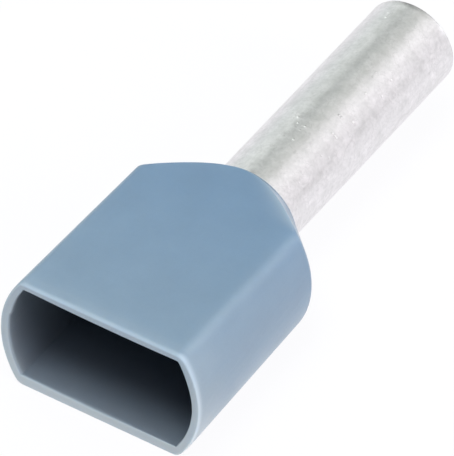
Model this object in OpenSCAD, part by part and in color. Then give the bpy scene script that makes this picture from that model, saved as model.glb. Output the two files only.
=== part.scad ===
// Twin wire ferrule: a drawn, tin-plated copper sleeve whose belled end is
// held in the neck of a moulded insulating collar. Two insulated conductors
// enter the wide mouth side by side and both end in the one sleeve.
//
// Frame, in millimetres: X runs along the sleeve, from the mouth of the collar
// (negative) to the open tip of the sleeve (positive). Z is up, and the two
// flats of the collar face up and down. The origin lies on the sleeve's axis,
// in the plane where the bare sleeve leaves the collar.

/* [Sleeve] */
// Outside diameter of the bare sleeve
sleeve_d = 4.2; // [3.8:0.1:4.3]
// Wall thickness of the drawn sleeve
sleeve_wall = 0.2; // [0.15:0.05:0.3]
// Length of bare sleeve beyond the collar
sleeve_show = 13.1; // [8:0.1:18]
// Length of the belled end, which the collar's neck holds
sleeve_grip = 1.4; // [1:0.1:1.8]
// How far the belled end spreads on the radius
bell_flare = 0.16; // [0.05:0.01:0.2]
// Radius of the rounded outer edge at the sleeve's tip
tip_round = 0.06; // [0.02:0.01:0.1]

/* [Collar] */
// Width of the mouth, across the two rounded sides
mouth_w = 9.8; // [9:0.1:11]
// Height of the mouth, across the two flats
mouth_h = 5.84; // [5.6:0.02:6.4]
// Length of the collar, from its mouth to the end of its neck
collar_len = 11.36; // [9:0.02:14]
// Moulding draft of the rounded sides, in degrees
side_draft = 1.43; // [0.5:0.01:2]
// Moulding draft of the flats, in degrees
flat_draft = 1.55; // [0.5:0.01:1.8]
// Slope of the conical shoulder against the axis, in degrees
shoulder_angle = 43.3; // [38:0.1:48]
// Plastic left round the sleeve at the end of the neck
neck_wall = 0.3; // [0.2:0.05:0.4]
// Wall thickness of the rounded sides at the mouth
side_wall = 0.42; // [0.3:0.02:0.5]
// Wall thickness of the flats at the mouth
flat_wall = 0.53; // [0.4:0.01:0.56]
// Draft of the hollow, in degrees
hollow_draft = 0.5; // [0.3:0.1:0.8]
// Radius that rounds the four long edges between flats and sides
crease_r = 0.5; // [0.3:0.05:0.7]
// Broken edge all round the outside of the mouth
rim_break = 0.08; // [0.04:0.01:0.12]

/* [Hidden] */
$fn = 96;

// Sleeve
sleeve_r = sleeve_d / 2;
bore_r = sleeve_r - sleeve_wall;
x_tip = sleeve_show;
x_lip = -sleeve_grip;
lip_r = sleeve_r + bell_flare;

// Outside of the collar
x_mouth = -collar_len;
mouth_r = mouth_w / 2;
mouth_z = mouth_h / 2;
neck_r = sleeve_r + neck_wall;
// The drafted side and the cone of the shoulder meet at this station.
x_shoulder = -(mouth_r - collar_len * tan(side_draft) - neck_r)
             / (tan(shoulder_angle) - tan(side_draft));
shoulder_r = mouth_r - (x_shoulder - x_mouth) * tan(side_draft);
shoulder_z = mouth_z - (x_shoulder - x_mouth) * tan(flat_draft);

// Hollow of the collar
hollow_r = mouth_r - side_wall;
hollow_z = mouth_z - flat_wall;
// The drafted hollow and its funnel meet at this station.
x_funnel = x_lip - (hollow_r - lip_r - (x_lip - x_mouth) * tan(hollow_draft))
           / (tan(shoulder_angle) - tan(hollow_draft));
funnel_r = hollow_r - (x_funnel - x_mouth) * tan(hollow_draft);

// Centres of the edge rounding, at the mouth and at the shoulder
round_ym = sqrt(pow(mouth_r - crease_r, 2) - pow(mouth_z - crease_r, 2));
round_zm = mouth_z - crease_r;
round_ys = sqrt(pow(shoulder_r - crease_r, 2) - pow(shoulder_z - crease_r, 2));
round_zs = shoulder_z - crease_r;
run = x_shoulder - x_mouth;
// The rounding turns from the flat towards the side and stops a little short
// of it, so it meets the side in a clean line.
turn = 90 - atan2(round_zm, round_ym) - 5;
steps = 9;

// Outside of the collar as a body of revolution
module round_body() {
    rotate([0, 90, 0])
        rotate_extrude()
            polygon([
                [0, x_mouth],
                [mouth_r - rim_break, x_mouth],
                [mouth_r - rim_break * tan(side_draft), x_mouth + rim_break],
                [shoulder_r, x_shoulder],
                [neck_r + 0.08 * tan(shoulder_angle), -0.08],
                [neck_r - 0.04, 0],
                [0, 0]
            ]);
}

// Slab between the two flats of the collar
module flat_slab() {
    z_end = mouth_z - collar_len * tan(flat_draft);
    z_brk = mouth_z - rim_break * tan(flat_draft);
    rotate([90, 0, 0])
        linear_extrude(height = 2 * mouth_w, center = true)
            polygon([
                [x_mouth, -(mouth_z - rim_break)],
                [x_mouth + rim_break, -z_brk],
                [1, -z_end + tan(flat_draft)],
                [1, z_end - tan(flat_draft)],
                [x_mouth + rim_break, z_brk],
                [x_mouth, mouth_z - rim_break]
            ]);
}

// What the rounding takes off one long edge, in the plane across it: the
// corner outside an arc about the origin
module edge_section() {
    far = 3;
    polygon(concat(
        [[-0.03, crease_r + far], [-0.03, crease_r + 0.01]],
        [for (i = [1 : steps]) let (a = turn * i / steps)
            [crease_r * sin(a), crease_r * cos(a)]],
        [[crease_r * sin(turn) + far * cos(turn),
          crease_r * cos(turn) - far * sin(turn)],
         [crease_r + 2 * far, crease_r + far]]
    ));
}

// Cutter for the long edge at +Y +Z
module edge_cutter() {
    lead = atan2(round_ys - round_ym, run);
    fall = atan2(round_zm - round_zs, sqrt(run * run + pow(round_ys - round_ym, 2)));
    translate([x_mouth, round_ym, round_zm])
        rotate([0, fall, lead])
            translate([-1, 0, 0])
                rotate([90, 0, 90])
                    linear_extrude(height = collar_len + 3)
                        edge_section();
}

// Hollow that takes the insulation of the two conductors, with its funnel
module hollow() {
    lead_in = 1;
    intersection() {
        rotate([0, 90, 0])
            rotate_extrude()
                polygon([
                    [0, x_mouth - lead_in],
                    [hollow_r + lead_in * tan(hollow_draft), x_mouth - lead_in],
                    [funnel_r, x_funnel],
                    [lip_r, x_lip],
                    [0, x_lip]
                ]);
        rotate([90, 0, 0])
            linear_extrude(height = 2 * mouth_w, center = true)
                polygon([
                    [x_mouth - lead_in, -(hollow_z + lead_in * tan(hollow_draft))],
                    [x_lip + 0.5, -(hollow_z - (x_lip + 0.5 - x_mouth) * tan(hollow_draft))],
                    [x_lip + 0.5, hollow_z - (x_lip + 0.5 - x_mouth) * tan(hollow_draft)],
                    [x_mouth - lead_in, hollow_z + lead_in * tan(hollow_draft)]
                ]);
    }
}

// Seat of the sleeve in the neck: a shallow cone that the belled end fills
module sleeve_seat() {
    rotate([0, 90, 0])
        rotate_extrude()
            polygon([
                [0, x_lip - 0.2],
                [lip_r, x_lip - 0.2],
                [lip_r, x_lip],
                [sleeve_r, 0],
                [sleeve_r, 1],
                [0, 1]
            ]);
}

module insulating_collar() {
    color([0.53, 0.63, 0.73])
    difference() {
        intersection() {
            round_body();
            flat_slab();
        }
        edge_cutter();
        mirror([0, 1, 0]) edge_cutter();
        mirror([0, 0, 1]) edge_cutter();
        mirror([0, 1, 0]) mirror([0, 0, 1]) edge_cutter();
        hollow();
        sleeve_seat();
    }
}

// One drawn tube with a belled end
module crimp_sleeve() {
    color([0.84, 0.84, 0.83])
    rotate([0, 90, 0])
        rotate_extrude()
            polygon([
                [lip_r - sleeve_wall, x_lip],
                [lip_r, x_lip],
                [sleeve_r, 0],
                [sleeve_r, x_tip - tip_round],
                [sleeve_r - tip_round * 0.3, x_tip - tip_round * 0.3],
                [sleeve_r - tip_round, x_tip],
                [bore_r, x_tip],
                [bore_r, 0]
            ]);
}

insulating_collar();
crimp_sleeve();
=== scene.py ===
"""Looks for the wire ferrule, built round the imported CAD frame. Lengths in the code are in millimetres and are turned into metres when a mesh is made."""

import math

import bmesh
import bpy
import numpy as np
from mathutils import Matrix, Vector


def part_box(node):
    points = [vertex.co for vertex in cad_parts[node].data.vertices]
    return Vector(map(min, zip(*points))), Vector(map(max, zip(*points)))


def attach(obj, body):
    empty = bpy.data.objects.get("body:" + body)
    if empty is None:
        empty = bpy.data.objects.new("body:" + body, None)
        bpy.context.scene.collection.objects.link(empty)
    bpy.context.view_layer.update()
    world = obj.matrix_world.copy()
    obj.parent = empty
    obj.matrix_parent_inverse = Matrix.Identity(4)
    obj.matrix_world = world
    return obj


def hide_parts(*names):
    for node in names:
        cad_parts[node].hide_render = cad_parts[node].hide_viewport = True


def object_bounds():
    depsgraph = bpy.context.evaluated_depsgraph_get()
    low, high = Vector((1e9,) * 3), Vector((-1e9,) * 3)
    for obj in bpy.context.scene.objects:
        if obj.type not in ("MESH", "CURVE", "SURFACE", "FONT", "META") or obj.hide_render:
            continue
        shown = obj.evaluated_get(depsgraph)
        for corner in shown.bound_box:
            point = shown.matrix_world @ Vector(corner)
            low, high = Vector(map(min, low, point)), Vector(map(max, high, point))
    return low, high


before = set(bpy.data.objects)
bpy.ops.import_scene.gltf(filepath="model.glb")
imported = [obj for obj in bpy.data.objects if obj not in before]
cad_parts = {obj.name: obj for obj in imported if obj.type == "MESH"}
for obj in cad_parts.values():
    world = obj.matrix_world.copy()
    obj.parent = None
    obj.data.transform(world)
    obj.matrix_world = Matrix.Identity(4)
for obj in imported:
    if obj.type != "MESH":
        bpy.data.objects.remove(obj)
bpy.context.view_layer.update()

MM = 0.001

# ---------------------------------------------------------------- dimensions
sleeve_box = [np.array(p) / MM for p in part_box("crimp_sleeve")]
collar_box = [np.array(p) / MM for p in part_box("insulating_collar")]

X_MOUTH = float(collar_box[0][0])
X_TIP = float(sleeve_box[1][0]) - 0.014
X_LIP = float(sleeve_box[0][0])
MOUTH_R = 4.880
MOUTH_Z = float(collar_box[1][2]) - 0.045
SLEEVE_R = 2.1
BORE_R = 1.9
LIP_R = 2.26
NECK_R = 2.44
T_SIDE = math.tan(math.radians(1.28))
T_FLAT = math.tan(math.radians(1.54))
T_CONE = math.tan(math.radians(43.98))
T_HOLLOW = math.tan(math.radians(0.5))
COLLAR_LEN = -X_MOUTH
X_SHOULDER = -(MOUTH_R - COLLAR_LEN * T_SIDE - NECK_R) / (T_CONE - T_SIDE)
SIDE_WALL = 0.413
FLAT_WALL = 0.492
HOLLOW_R = MOUTH_R - SIDE_WALL
HOLLOW_Z = MOUTH_Z - FLAT_WALL
X_FUNNEL = X_LIP - (HOLLOW_R - LIP_R - (X_LIP - X_MOUTH) * T_HOLLOW) / (T_CONE - T_HOLLOW)
FUNNEL_R = HOLLOW_R - (X_FUNNEL - X_MOUTH) * T_HOLLOW


def outer_r(x):
    """Radius of the collar's rounded side, or of its shoulder, with the corner between them rounded."""
    side = MOUTH_R - 0.005 * math.exp((X_MOUTH - x) / 0.8) - (x - X_MOUTH) * T_SIDE
    cone = NECK_R - x * T_CONE
    k = 0.12
    h = max(0.0, k - abs(side - cone)) / k
    return min(side, cone) - h * h * k * 0.25


def outer_z(x):
    return MOUTH_Z - (x - X_MOUTH) * T_FLAT


def inner_r(x):
    side = HOLLOW_R - (x - X_MOUTH) * T_HOLLOW
    cone = LIP_R + (X_LIP - x) * T_CONE
    k = 0.3
    h = max(0.0, k - abs(side - cone)) / k
    return min(side, cone) - h * h * k * 0.25


def inner_z(x):
    return HOLLOW_Z - (x - X_MOUTH) * T_HOLLOW


# ---------------------------------------------------------------- collar
N_FLAT, N_FIL, N_SIDE = 44, 9, 56
EDGE = 0.46
EDGE_IN = 0.06, 0.12, 0.0
EDGE_X = 0.09, 0.17, 0.36
CORE_TILT, CORE_Y, CORE_Z = 0.333, -0.033, 0.068
CORE_SKEW, ROOF_SAG, ROOF_RISE = 0.085, 0.068, 0.035
LONG_FIL, LOW_FIL, FAR_FIL = 0.62, 0.5, 0.28
FIL_IN = 0.07
IN_EDGE_A, IN_EDGE_B = 0.05, 0.09
FLASH, FLASH_FROM, FLASH_TO = 0.055, 10.0, 36.0


def quarter(r, z, fil, grid_y):
    """Points (y, z) of the quarter ring with y and z above 0, from its middle top to its side."""
    yc2 = (r - z) * (r + z - 2 * fil)
    quad = []
    if r > z and yc2 > grid_y * grid_y:
        yc = math.sqrt(yc2)
        for i in range(N_FLAT // 2):
            quad.append((yc * i / (N_FLAT // 2), z))
        a1 = math.atan2(yc, z - fil)
        for i in range(N_FIL):
            a = a1 * i / N_FIL
            quad.append((yc + fil * math.sin(a), z - fil + fil * math.cos(a)))
        for i in range(N_SIDE // 2 + 1):
            a = a1 + (math.pi / 2 - a1) * i / (N_SIDE // 2)
            quad.append((r * math.sin(a), r * math.cos(a)))
    else:
        a0 = math.asin(min(0.95, grid_y / r))
        a1 = a0 + 0.12 * a0 + 0.002
        for i in range(N_FLAT // 2):
            a = a0 * i / (N_FLAT // 2)
            quad.append((r * math.sin(a), min(z, r) if r > z else r * math.cos(a)))
        for i in range(N_FIL):
            a = a0 + (a1 - a0) * i / N_FIL
            quad.append((r * math.sin(a), r * math.cos(a)))
        for i in range(N_SIDE // 2 + 1):
            a = a1 + (math.pi / 2 - a1) * i / (N_SIDE // 2)
            quad.append((r * math.sin(a), r * math.cos(a)))
    return quad


def ring(r, z, fil, grid_y=0.06, fil_low=None, fil_far=None):
    """Points (y, z) round one section: a circle of radius r cut by flats at +z and -z, the corners rounded by fil, by fil_low below and by fil_far above on the +Y side.

    Every ring has the same count in the same order, so that rings join into quads and the corners stay on one line of the mesh."""
    top = quarter(r, z, fil, grid_y)
    low = quarter(r, z, fil if fil_low is None else fil_low, grid_y)
    pts = list(top) if fil_far is None else quarter(r, z, fil_far, grid_y)
    pts += [(y, -w) for y, w in reversed(low[:-1])]
    pts += [(-y, -w) for y, w in low[1:]]
    pts += [(-y, w) for y, w in reversed(top[1:-1])]
    return np.array(pts)


def corner_mask():
    """1 at the middle of each rounded corner of a ring, fading to 0 just past its ends, with a weaker tail onto the
    flat; it marks where the corners get a painted highlight.
    """
    n = N_FLAT // 2 + N_FIL + N_SIDE // 2 + 1
    q = np.zeros(n)
    c = N_FLAT // 2 + N_FIL / 2
    for i in range(n):
        q[i] = max(0.0, 1 - abs(i - c) / (N_FIL * 0.8))
    q = q * q * (3 - 2 * q)
    for i in range(N_FLAT // 2 + 3):
        q[i] = max(q[i], 0.5 * math.exp(-(N_FLAT // 2 + 3 - i) * 0.14 / 0.35))
    return np.concatenate([q, q[:-1][::-1], q[1:], q[1:-1][::-1]])


def spaced(a, b, n):
    return [a + (b - a) * i / n for i in range(n + 1)]


def solve(test, lo, hi):
    """The place between lo and hi where test stops being true."""
    for _ in range(50):
        mid = (lo + hi) / 2
        if test(mid):
            lo = mid
        else:
            hi = mid
    return mid


def smooth(t):
    t = np.clip(t, 0.0, 1.0)
    return t * t * (3 - 2 * t)


def normals(pts):
    """Outward unit normals of a ring's points, in its own plane."""
    t = np.roll(pts, -1, 0) - np.roll(pts, 1, 0)
    n = np.c_[t[:, 1], -t[:, 0]] / np.hypot(t[:, 0], t[:, 1])[:, None]
    return n * np.sign((n * pts).sum(1))[:, None]


def collar_rings():
    """Rings of the collar, as (x, points, rim, hollow, edge), once round its wall: outside from mouth to neck, then inside back to the mouth."""
    rings = []
    corners = corner_mask()
    none = corners * 0

    def outer(x):
        t = smooth((x - (X_SHOULDER - 0.15)) / 0.75)
        return ring(
            outer_r(x), outer_z(x), LONG_FIL * (1 - t) + 0.07 * t,
            fil_low=LOW_FIL * (1 - t) + 0.07 * t, fil_far=FAR_FIL * (1 - t) + 0.07 * t,
        )

    def put(x, pts, rim=0.0, hollow=0.0, edge=0.0):
        rings.append((np.full(len(pts), float(x)), pts, none + rim, none + hollow, none + edge))

    def rear_highlight(x, pts):
        """How pale the flat gets towards the shoulder's corner, most on the -Y side: a painted highlight along that
        edge.
        """
        y, z = np.abs(pts[:, 0]), np.abs(pts[:, 1])
        flat = z > outer_z(x) - 1e-6
        yc = y[flat].max() if flat.any() else 0.0
        away = np.where(flat, (yc - y) * 0.7 / 0.32, (y - yc) / 0.3)
        share = np.where(pts[:, 0] < 0, np.clip(y / 1.5, 0, 1), 0.1 * np.clip(y, 0, 1))
        return 4.4 * np.exp(-away) * share * smooth((x - X_SHOULDER + 0.18) / 0.75) ** 1.3

    # rounded outer edge of the mouth, fuller above and on the -Y side
    n = 12
    body = outer(X_MOUTH + EDGE)
    out = normals(body)
    above = smooth(out[:, 1]) ** 1.5
    beside = smooth(-out[:, 0])
    inset = EDGE_IN[0] + EDGE_IN[1] * above + EDGE_IN[2] * beside
    depth = np.minimum(EDGE_X[0] + EDGE_X[1] * above + EDGE_X[2] * beside, EDGE - 0.05)
    for i in range(n):
        a = math.pi / 2 * i / n
        x = X_MOUTH + depth * (1 - math.cos(a))
        pts = body - out * (inset * (1 - math.sin(a)))[:, None]
        # lit is a painted highlight on the rounded edge: midway round it above, further round it on the -Y side
        late = math.pi * (i / n) ** 2.3
        lit = np.maximum(above * (math.sin(2 * a) ** 0.5 if i else 0.0), 0.8 * beside * math.sin(late) ** 0.5)
        rings.append((x, pts, smooth(1.3 + 0.15 * beside - 1.6 * i / n), none, none + lit))
    # drafted body; its corners carry a painted highlight, and its top a painted glow fading back from the mouth's edge
    for x in spaced(X_MOUTH + EDGE, X_SHOULDER - 0.25, 46):
        put(x, outer(x), edge=np.maximum(corners, 0.6 * above * math.exp((X_MOUTH + EDGE - x) / 0.25)))
    for x in spaced(X_SHOULDER - 0.25, X_SHOULDER + 0.25, 16)[1:]:
        put(x, outer(x), edge=np.maximum(corners, rear_highlight(x, outer(x))))
    # shoulder: stations at equal steps of the angle of the corner, down to where the flat runs out
    x0 = X_SHOULDER + 0.25
    phi0 = math.acos(outer_z(x0) / outer_r(x0))
    n = 44
    for i in range(1, n):
        phi = phi0 * (1 - i / n)
        x = solve(lambda q: outer_r(q) * math.cos(phi) > outer_z(q), x0, 0.0)
        put(x, outer(x), edge=np.maximum(corners, rear_highlight(x, outer(x))))
    x_apex = solve(lambda q: outer_r(q) > outer_z(q), x0, 0.0)
    # round neck, with a painted highlight fading out along the corners and on its rounded end
    x_end = -0.08
    m = 8
    for i in range(0, m + 1):
        t = i / m
        x = x_apex + (x_end - x_apex) * t
        r = outer_r(x)
        put(x, ring(r, r * 1.2, 0.01, grid_y=0.06 + (1.6 - 0.06) * t ** 1.5), edge=smooth(1 - 4 * t) * (corners > 0) * 0.6)
    r_end = outer_r(x_end)
    for i in range(1, 6):
        r = r_end - 0.06 * i / 5
        x = x_end * (1 - math.sin(math.pi / 2 * i / 5))
        put(x, ring(r, r * 1.2, 0.01, grid_y=1.6), edge=math.sin(math.pi * i / 6))
    # end face and the seat that the sleeve fills
    gap = 0.012
    put(0.0, ring(SLEEVE_R + gap + 0.03, 9, 0.01, grid_y=1.6))
    put(-0.03, ring(SLEEVE_R + gap, 9, 0.01, grid_y=1.6))
    for x in spaced(-0.03, X_LIP, 8)[1:]:
        t = x / X_LIP
        put(x, ring(SLEEVE_R + gap + (LIP_R - SLEEVE_R) * t, 9, 0.01, grid_y=1.6 - 1.54 * t), hollow=1.0)
    # funnel, again at equal steps of the corner's angle
    x_in = solve(lambda q: inner_r(q) < inner_z(q), X_LIP, X_FUNNEL)
    x_first = X_FUNNEL - 0.4
    phi1 = math.acos(inner_z(x_first) / inner_r(x_first))
    n = 36
    for i in range(1, n + 1):
        phi = phi1 * i / n
        x = solve(lambda q: inner_r(q) * math.cos(phi) > inner_z(q), x_first, x_in)
        put(x, ring(inner_r(x), inner_z(x), FIL_IN * min(1.0, 0.2 + i / n * 1.6)), hollow=1.0)
    # hollow, its wall painted lighter by the rim, a painted glow where light comes through
    base = ring(inner_r(X_MOUTH), inner_z(X_MOUTH), FIL_IN)
    unit = base / np.hypot(base[:, 0], base[:, 1])[:, None]
    side = smooth(normals(base)[:, 0])
    under = smooth(-normals(base)[:, 1])

    def glow(d):
        return 0.42 * side * math.exp(-d / 0.35) + 0.08 * under * math.exp(-d / 0.5)

    for d in [X_FUNNEL - 0.4 - X_MOUTH - q * (X_FUNNEL - 0.4 - X_MOUTH - 1.2) / 24 for q in range(1, 25)] + [1.2 * 0.8 ** q for q in range(1, 10)]:
        x = X_MOUTH + d
        put(x, ring(inner_r(x), inner_z(x), FIL_IN), hollow=1.0, rim=glow(d))
    # rounded inner edge of the rim, wider below and on the +Y side, with a painted highlight along it there
    soft = smooth(unit[:, 0] * 0.8 - unit[:, 1] * 0.9)
    n = 7
    inner_edge = IN_EDGE_A + IN_EDGE_B * soft
    for i in range(1, n + 1):
        a = math.pi / 2 * i / n
        away = inner_edge * (1 - math.cos(a))
        x = X_MOUTH + inner_edge * (1 - math.sin(a))
        pts = ring(inner_r(X_MOUTH + 0.1), inner_z(X_MOUTH + 0.1), FIL_IN) + unit * away[:, None]
        t = i / n
        rim = smooth(t * 1.4 - 0.4)
        rings.append((x, pts, np.maximum(none + rim, glow(0.1)), none + 1.001 - rim, none + 0.6 * math.sin(math.pi * t) * soft))
    # the core that made the hollow sat a trace off the middle
    for x, pts, rim, hollow, edge in rings:
        if hollow.max() > 0 and x.max() < X_LIP:
            f = np.clip((X_LIP - x) / (X_LIP - X_FUNNEL), 0, 1)
            a = math.radians(CORE_TILT) * f
            y, z = pts[:, 0].copy(), pts[:, 1].copy()
            # its roof sinks a little towards the middle
            z += f * smooth((z - 1.2) / 1.0) * (ROOF_RISE - ROOF_SAG * (1 - (y / 3.7) ** 2).clip(0, 1))
            y += f * CORE_SKEW * smooth((z + 0.2) / 2.4)
            pts[:, 0] = y * np.cos(a) - z * np.sin(a) + CORE_Y * f
            pts[:, 1] = y * np.sin(a) + z * np.cos(a) + CORE_Z * f
    a_in = rings[-1][1]
    a_out = rings[0][1]
    for t in (0.33, 0.67):
        put(X_MOUTH, a_in * (1 - t) + a_out * t, rim=1.0)
    # flash skin: a raised land inside the rim on the +Y side, from the upper corner to a ragged end
    for k, (x, pts, rim, hollow, edge) in enumerate(rings):
        if k < 60:
            continue
        depth = np.clip((X_MOUTH + 0.30 - x) / 0.10, 0, 1)
        ang = np.degrees(np.arctan2(pts[:, 1], pts[:, 0]))
        along = np.clip((ang - FLASH_FROM) / 1.2, 0, 1) * np.clip((FLASH_TO - ang) / 4.0, 0, 1)
        r = np.hypot(pts[:, 0], pts[:, 1])
        near = np.clip((MOUTH_R - 0.25 - r) / 0.15, 0, 1) if np.ndim(x) and rim.max() > 0.9 else 1.0
        off = FLASH * depth * along * near
        pts -= (pts / r[:, None]) * off[:, None]
    return rings


def grid_mesh(rings):
    """Vertices and quads from rings of equal length, the last ring joined to the first."""
    n = len(rings[0][1])
    verts = np.zeros((len(rings) * n, 3))
    for k, r in enumerate(rings):
        verts[k * n:(k + 1) * n, 0] = r[0]
        verts[k * n:(k + 1) * n, 1:] = r[1]
    faces = []
    m = len(rings)
    for k in range(m):
        a, b = k * n, ((k + 1) % m) * n
        for i in range(n):
            j = (i + 1) % n
            faces.append((a + i, a + j, b + j, b + i))
    return verts, faces


def make_object(name, verts, faces, marks=None):
    """A smooth object from vertices in millimetres, with one value a vertex for each named mark."""
    mesh = bpy.data.meshes.new(name)
    mesh.from_pydata([tuple(v * MM) for v in verts], [], faces)
    for key, values in (marks or {}).items():
        at = mesh.attributes.new(key, "FLOAT", "POINT")
        at.data.foreach_set("value", np.asarray(values, dtype=np.float32))
    bm = bmesh.new()
    bm.from_mesh(mesh)
    bmesh.ops.remove_doubles(bm, verts=bm.verts, dist=2e-9)
    bmesh.ops.dissolve_degenerate(bm, edges=bm.edges, dist=1e-9)
    bmesh.ops.recalc_face_normals(bm, faces=bm.faces)
    for f in bm.faces:
        f.smooth = True
    bm.to_mesh(mesh)
    bm.free()
    obj = bpy.data.objects.new(name, mesh)
    bpy.context.scene.collection.objects.link(obj)
    return obj


rings = collar_rings()
verts, faces = grid_mesh(rings)
collar = make_object("collar_moulding", verts, faces, {
    "rim": np.concatenate([r[2] for r in rings]),
    "hollow": np.concatenate([r[3] for r in rings]),
    "edge": np.concatenate([r[4] for r in rings]),
})

# ---------------------------------------------------------------- sleeve
N_ROUND = 256


def sleeve_rings():
    prof = []
    tip = 0.07
    # outside, bell to tip
    for i in range(9):
        t = i / 8
        prof.append((X_LIP * (1 - t), LIP_R + (SLEEVE_R - LIP_R) * t))
    for x in spaced(0.0, X_TIP - tip, 60)[1:]:
        prof.append((x, SLEEVE_R))
    for i in range(1, 7):
        a = math.pi / 2 * i / 6
        prof.append((X_TIP - tip + tip * math.sin(a), SLEEVE_R - tip * (1 - math.cos(a))))
    # inner edge of the tip
    tin = 0.04
    for i in range(0, 5):
        a = math.pi / 2 * i / 4
        prof.append((X_TIP - tin * (1 - math.cos(a)), BORE_R + tin * (1 - math.sin(a))))
    for x in spaced(X_TIP - tin, 0.0, 30)[1:]:
        prof.append((x, BORE_R))
    for i in range(1, 9):
        t = i / 8
        prof.append((X_LIP * t, BORE_R + (LIP_R - SLEEVE_R) * t))
    prof.append((X_LIP - 0.0, LIP_R - 0.1))
    out = []
    for x, r in prof:
        ang = np.arange(N_ROUND) * 2 * math.pi / N_ROUND
        out.append((x, np.c_[r * np.sin(ang), r * np.cos(ang)]))
    return out


verts, faces = grid_mesh(sleeve_rings())
sleeve = make_object("tinned_sleeve", verts, faces)


# ---------------------------------------------------------------- materials
def new_material(name):
    m = bpy.data.materials.new(name)
    m.use_nodes = True
    nt = m.node_tree
    nt.nodes.clear()
    out = nt.nodes.new("ShaderNodeOutputMaterial")
    bsdf = nt.nodes.new("ShaderNodeBsdfPrincipled")
    nt.links.new(bsdf.outputs[0], out.inputs[0])
    return m, nt, bsdf


def mm_coords(nt, scale=(1, 1, 1)):
    """Object coordinates in millimetres, stretched by scale."""
    tc = nt.nodes.new("ShaderNodeTexCoord")
    mp = nt.nodes.new("ShaderNodeMapping")
    mp.inputs["Scale"].default_value = [1000 * s for s in scale]
    nt.links.new(tc.outputs["Object"], mp.inputs["Vector"])
    return mp.outputs[0]


def noise(nt, vec, scale, detail=2, rough=0.5, distortion=0.0):
    n = nt.nodes.new("ShaderNodeTexNoise")
    n.inputs["Scale"].default_value = scale
    n.inputs["Detail"].default_value = detail
    n.inputs["Roughness"].default_value = rough
    n.inputs["Distortion"].default_value = distortion
    nt.links.new(vec, n.inputs["Vector"])
    return n.outputs["Fac"]


def remap(nt, val, a, b, c, d, smooth=False):
    n = nt.nodes.new("ShaderNodeMapRange")
    n.clamp = True
    if smooth:
        n.interpolation_type = "SMOOTHSTEP"
    for k, v in zip(("From Min", "From Max", "To Min", "To Max"), (a, b, c, d)):
        n.inputs[k].default_value = v
    nt.links.new(val, n.inputs["Value"])
    return n.outputs[0]


def mix_color(nt, fac, a, b):
    n = nt.nodes.new("ShaderNodeMix")
    n.data_type = "RGBA"
    if isinstance(fac, (int, float)):
        n.inputs[0].default_value = fac
    else:
        nt.links.new(fac, n.inputs[0])
    for i, c in ((6, a), (7, b)):
        if isinstance(c, (tuple, list)):
            n.inputs[i].default_value = (*c, 1)
        else:
            nt.links.new(c, n.inputs[i])
    return n.outputs[2]


def tone(nt, color, value):
    """The colour times a value."""
    n = nt.nodes.new("ShaderNodeVectorMath")
    n.operation = "SCALE"
    nt.links.new(color, n.inputs[0])
    nt.links.new(value, n.inputs["Scale"])
    return n.outputs[0]


def math_node(nt, op, a, b=None):
    n = nt.nodes.new("ShaderNodeMath")
    n.operation = op
    for i, v in enumerate((a, b)):
        if v is None:
            continue
        if isinstance(v, (int, float)):
            n.inputs[i].default_value = v
        else:
            nt.links.new(v, n.inputs[i])
    return n.outputs[0]


def bump(nt, height, dist_mm, strength=1.0, normal=None):
    n = nt.nodes.new("ShaderNodeBump")
    n.inputs["Strength"].default_value = strength
    n.inputs["Distance"].default_value = dist_mm * MM
    nt.links.new(height, n.inputs["Height"])
    if normal is not None:
        nt.links.new(normal, n.inputs["Normal"])
    return n.outputs[0]


def mark(nt, name):
    n = nt.nodes.new("ShaderNodeAttribute")
    n.attribute_name = name
    return n.outputs["Fac"]


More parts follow.
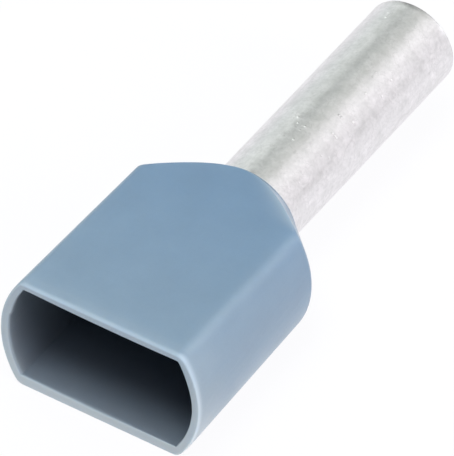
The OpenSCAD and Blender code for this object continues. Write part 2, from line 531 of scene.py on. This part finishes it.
def collar_material():
    m, nt, b = new_material("moulded_blue_grey_plastic")
    v = mm_coords(nt)
    cloud = noise(nt, v, 0.45, 3, 0.55)
    flow = noise(nt, mm_coords(nt, (0.35, 1.6, 1.6)), 0.9, 3, 0.6, 0.4)
    grain = noise(nt, v, 13, 3, 0.6)
    speck = noise(nt, v, 9, 3, 0.6)
    sep = nt.nodes.new("ShaderNodeSeparateXYZ")
    nt.links.new(v, sep.inputs[0])
    # painted shade: the body darkens from OUTER_A at the mouth to OUTER_B towards the shoulder
    base = mix_color(nt, remap(nt, sep.outputs[0], X_MOUTH, -1.5, 0, 1), OUTER_A, OUTER_B)
    base = tone(nt, base, remap(nt, cloud, 0.3, 0.7, 0.965, 1.035))
    base = tone(nt, base, remap(nt, speck, 0.3, 0.7, 0.985, 1.015))
    # painted light: the sides are paler, most low down near the mouth and on the -Y side, a painted reflection of the
    # bright floor
    by_mouth = remap(nt, sep.outputs[0], X_MOUTH + 2.8, X_MOUTH + 0.2, 0, 1, True)
    beside = remap(nt, math_node(nt, "ABSOLUTE", sep.outputs[1]), 3.7, 4.4, 0, 1, True)
    low = remap(nt, sep.outputs[2], 1.5, -2.5, 0.08, 0.36, True)
    low = math_node(nt, "MULTIPLY", low, remap(nt, sep.outputs[1], -3.7, 3.7, 1.0, 0.35))
    base = mix_color(nt, math_node(nt, "MULTIPLY", beside, 0.06), base, (0.53, 0.64, 0.68))
    base = mix_color(nt, math_node(nt, "MULTIPLY", math_node(nt, "MULTIPLY", by_mouth, beside), low), base, (0.55, 0.60, 0.62))
    # painted highlight along the corners and edges carried by the edge mark
    base = mix_color(nt, math_node(nt, "MULTIPLY", mark(nt, "edge"), 0.0776), base, (0.55, 0.60, 0.62))
    # painted shade: the hollow is coloured darker than the outside
    base = mix_color(nt, mark(nt, "hollow"), base, HOLLOW)
    # the rim face, paler than the body: lighter and warmer where it faces down, darker and bluer where it faces up,
    # painted light and shade; lifted on its rounded edges, a painted highlight
    facing = math_node(nt, "SUBTRACT", math_node(nt, "MULTIPLY", sep.outputs[2], 0.35), math_node(nt, "MULTIPLY", sep.outputs[1], 0.03))
    rim = mix_color(nt, remap(nt, facing, -0.9, -0.2, 1, 0, True), RIM, RIM_LOW)
    rim = mix_color(nt, remap(nt, facing, 0.4, 0.9, 0, 1, True), rim, RIM_TOP)
    rim = tone(nt, rim, remap(nt, facing, -0.95, 0.95, 1.05, 0.84))
    rim = tone(nt, rim, remap(nt, mark(nt, "edge"), 0, 1, 1.0, 1.22))
    base = mix_color(nt, mark(nt, "rim"), base, rim)
    nt.links.new(base, b.inputs["Base Color"])
    rough = remap(nt, grain, 0.3, 0.7, 0.28, 0.36)
    nt.links.new(rough, b.inputs["Roughness"])
    b.inputs["IOR"].default_value = 1.5
    b.inputs["Subsurface Weight"].default_value = 0.4
    b.inputs["Subsurface Radius"].default_value = (0.6, 0.8, 1.0)
    b.inputs["Subsurface Scale"].default_value = 0.35 * MM
    h = math_node(nt, "ADD", math_node(nt, "MULTIPLY", grain, 0.3), math_node(nt, "MULTIPLY", flow, 2.0))
    nt.links.new(bump(nt, h, 0.012, 0.6), b.inputs["Normal"])
    return m


# OUTER_B is the painted shade towards the shoulder, HOLLOW the painted shade inside, RIM_LOW the rim's painted light
# below and RIM_TOP its painted shade above, which also tints its highlight
OUTER_A = (0.192, 0.275, 0.364)
OUTER_B = (0.150, 0.239, 0.350)
HOLLOW = (0.150, 0.184, 0.228)
RIM = (0.486, 0.576, 0.644)
RIM_LOW = (0.504, 0.575, 0.620)
RIM_TOP = (0.456, 0.568, 0.672)


def voronoi(nt, vec, scale, feature):
    n = nt.nodes.new("ShaderNodeTexVoronoi")
    n.feature = feature
    n.inputs["Scale"].default_value = scale
    nt.links.new(vec, n.inputs["Vector"])
    return n


def sleeve_material():
    m, nt, b = new_material("matt_tin_plating")
    v = mm_coords(nt)
    drawn = noise(nt, mm_coords(nt, (0.05, 1.0, 1.0)), 4.5, 2, 0.6)
    patch = noise(nt, v, 1.5, 2, 0.5, 0.3)
    blotch = noise(nt, v, 3.6, 2, 0.6, 0.4)
    grain = noise(nt, v, 7, 2, 0.55)
    # thin crazed lines, here and there
    warp = nt.nodes.new("ShaderNodeVectorMath")
    warp.operation = "MULTIPLY_ADD"
    wob = nt.nodes.new("ShaderNodeTexNoise")
    wob.inputs["Scale"].default_value = 2.0
    nt.links.new(v, wob.inputs["Vector"])
    nt.links.new(wob.outputs["Color"], warp.inputs[0])
    warp.inputs[1].default_value = (1.4, 1.4, 1.4)
    nt.links.new(v, warp.inputs[2])
    cells = voronoi(nt, warp.outputs[0], 0.9, "DISTANCE_TO_EDGE")
    line = remap(nt, cells.outputs["Distance"], 0.0, 0.045, 1, 0)
    line = math_node(nt, "MULTIPLY", line, remap(nt, patch, 0.42, 0.6, 0, 1))
    # bright grains standing a little proud of the plating, their colour also lifted as a painted glint
    spots = voronoi(nt, v, 3.2, "F1")
    pick = nt.nodes.new("ShaderNodeSeparateColor")
    nt.links.new(spots.outputs["Color"], pick.inputs[0])
    spot = math_node(nt, "MULTIPLY", remap(nt, spots.outputs["Distance"], 0.08, 0.25, 1, 0, True), remap(nt, pick.outputs[0], 0.82, 0.95, 0, 1))
    base = mix_color(nt, remap(nt, patch, 0.3, 0.7, 0, 1), (0.755, 0.742, 0.755), (0.862, 0.840, 0.862))
    base = tone(nt, base, remap(nt, blotch, 0.3, 0.7, 0.94, 1.05))
    base = tone(nt, base, remap(nt, drawn, 0.3, 0.7, 0.975, 1.025))
    base = tone(nt, base, remap(nt, grain, 0.3, 0.7, 0.945, 1.045))
    base = tone(nt, base, remap(nt, line, 0, 1, 1.0, 0.90))
    # painted glint: the grains' colour lifted
    base = tone(nt, base, remap(nt, spot, 0, 1, 1.0, 1.14))
    # the colour darkens over the last tenth of a millimetre towards the sheared end
    sep = nt.nodes.new("ShaderNodeSeparateXYZ")
    nt.links.new(v, sep.inputs[0])
    base = tone(nt, base, remap(nt, sep.outputs[0], X_TIP - 0.10, X_TIP - 0.045, 1.0, 0.88))
    nt.links.new(base, b.inputs["Base Color"])
    b.inputs["Metallic"].default_value = 1.0
    rough = remap(nt, blotch, 0.3, 0.7, 0.34, 0.40)
    nt.links.new(rough, b.inputs["Roughness"])
    h = math_node(nt, "ADD", math_node(nt, "MULTIPLY", grain, 0.16), math_node(nt, "MULTIPLY", drawn, 0.5))
    h = math_node(nt, "ADD", h, math_node(nt, "MULTIPLY", blotch, 0.6))
    h = math_node(nt, "ADD", h, math_node(nt, "MULTIPLY", patch, 1.0))
    h = math_node(nt, "ADD", h, math_node(nt, "MULTIPLY", spot, 2.2))
    h = math_node(nt, "SUBTRACT", h, math_node(nt, "MULTIPLY", line, 0.2))
    nt.links.new(bump(nt, h, 0.0075, 0.9), b.inputs["Normal"])
    return m


collar.data.materials.append(collar_material())
sleeve.data.materials.append(sleeve_material())

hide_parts("insulating_collar")
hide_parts("crimp_sleeve")
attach(collar, "root")
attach(sleeve, "root")

# ---------------------------------------------------------------- floor
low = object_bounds()[0][2]
bm = bmesh.new()
bmesh.ops.create_grid(bm, x_segments=1, y_segments=1, size=3.0)
fm = bpy.data.meshes.new("floor")
bm.to_mesh(fm)
bm.free()
floor = bpy.data.objects.new("floor", fm)
floor.location = (0, 0, low)
bpy.context.scene.collection.objects.link(floor)
m, nt, b = new_material("pale_floor")
b.inputs["Base Color"].default_value = (0.05, 0.05, 0.05, 1)
b.inputs["Roughness"].default_value = 1.0
b.inputs["Specular IOR Level"].default_value = 0.0
b.inputs["Emission Color"].default_value = (0.985, 0.985, 1.0, 1)
b.inputs["Emission Strength"].default_value = 0.95
floor.data.materials.append(m)

# ---------------------------------------------------------------- light
scene = bpy.context.scene
scene.view_settings.view_transform = "Standard"
scene.view_settings.look = "None"
scene.view_settings.exposure = 0
scene.view_settings.gamma = 1

world = bpy.data.worlds.new("studio")
scene.world = world
world.use_nodes = True
wn = world.node_tree
wn.nodes.clear()
wo = wn.nodes.new("ShaderNodeOutputWorld")
bg = wn.nodes.new("ShaderNodeBackground")
bg.inputs[0].default_value = (0.985, 0.985, 1.0, 1)
bg.inputs[1].default_value = 1.0
wn.links.new(bg.outputs[0], wo.inputs[0])
# a pale backdrop past the floor's edge that lights nothing: the boxes below do all of that
see = world.cycles_visibility
see.camera = True
see.diffuse = see.glossy = see.transmission = see.scatter = False


def soft_light(azimuth, elevation, strength, color=(1, 1, 1), width=30, fill=True, gloss=True):
    """A distant round light box, width degrees across as the object sees it, at this azimuth (from +X towards +Y) and elevation.

    One without fill only shows in reflections, one without gloss doesn't."""
    li = bpy.data.lights.new("box_%d_%d" % (azimuth, elevation), "SUN")
    li.energy = strength
    li.angle = math.radians(width)
    li.color = color
    ob = bpy.data.objects.new(li.name, li)
    az, el = math.radians(azimuth), math.radians(elevation)
    d = Vector((math.cos(az) * math.cos(el), math.sin(az) * math.cos(el), math.sin(el)))
    ob.rotation_euler = d.to_track_quat("Z", "Y").to_euler()
    ob.visible_diffuse = fill
    ob.visible_glossy = gloss
    scene.collection.objects.link(ob)


for az, el, strength, color in (
    (270, 26, 1.762, (1.000, 0.926, 0.931)),
    (135, 76, 1.448, (0.949, 1.000, 0.990)),
    (180, 76, 0.786, (0.962, 1.000, 0.974)),
    (330, 8, 0.390, (0.955, 0.982, 1.000)),
    (60, 44, 0.430, (0.931, 1.000, 0.939)),
    (210, 60, 0.335, (0.915, 0.901, 1.000)),
    (240, 44, 0.205, (0.994, 0.969, 1.000)),
    (330, 44, 0.216, (0.991, 1.000, 0.987)),
    (30, 8, 0.070, (0.958, 1.000, 0.978)),
    (30, 60, 0.138, (0.924, 1.000, 0.959)),
    (330, 26, 0.166, (0.993, 1.000, 0.995)),
    (60, 26, 0.143, (0.945, 1.000, 0.970)),
    (270, 8, 0.090, (1.000, 0.991, 0.986)),
    (60, 8, 0.154, (0.920, 1.000, 0.982)),
    (0, 44, 0.094, (0.954, 1.000, 0.913)),
    (300, 26, 0.014, (0.987, 0.996, 1.000)),
    (300, 8, 0.080, (1.000, 1.000, 1.000)),
    (60, 60, 0.105, (0.940, 1.000, 0.955)),
    (0, 60, 0.055, (0.950, 1.000, 0.940)),
    (240, 60, 0.025, (0.999, 1.000, 0.999)),
):
    soft_light(az, el, strength, color, gloss=strength < 0.7)
# what the gloss sees in place of the three strongest: broad sheets
soft_light(270, 26, 0.85, (1.000, 0.926, 0.931), 70, fill=False)
soft_light(180, 70, 0.95, (0.955, 1.000, 0.982), 80, fill=False)

# ---------------------------------------------------------------- camera
cam_data = bpy.data.cameras.new("camera")
cam = bpy.data.objects.new("camera", cam_data)
scene.collection.objects.link(cam)
cam_data.sensor_fit = "HORIZONTAL"
cam_data.sensor_width = 36
cam_data.lens = 952.893
cam_data.clip_start = 0.05
cam_data.clip_end = 20
cam.matrix_world = Matrix((
    (0.5352619, 0.5624612, -0.6301841, -0.3168065),
    (-0.8441229, 0.3834232, -0.3747575, -0.1874668),
    (0.0308406, 0.7325462, 0.6800183, 0.3406093),
    (0, 0, 0, 1),
))
scene.camera = cam
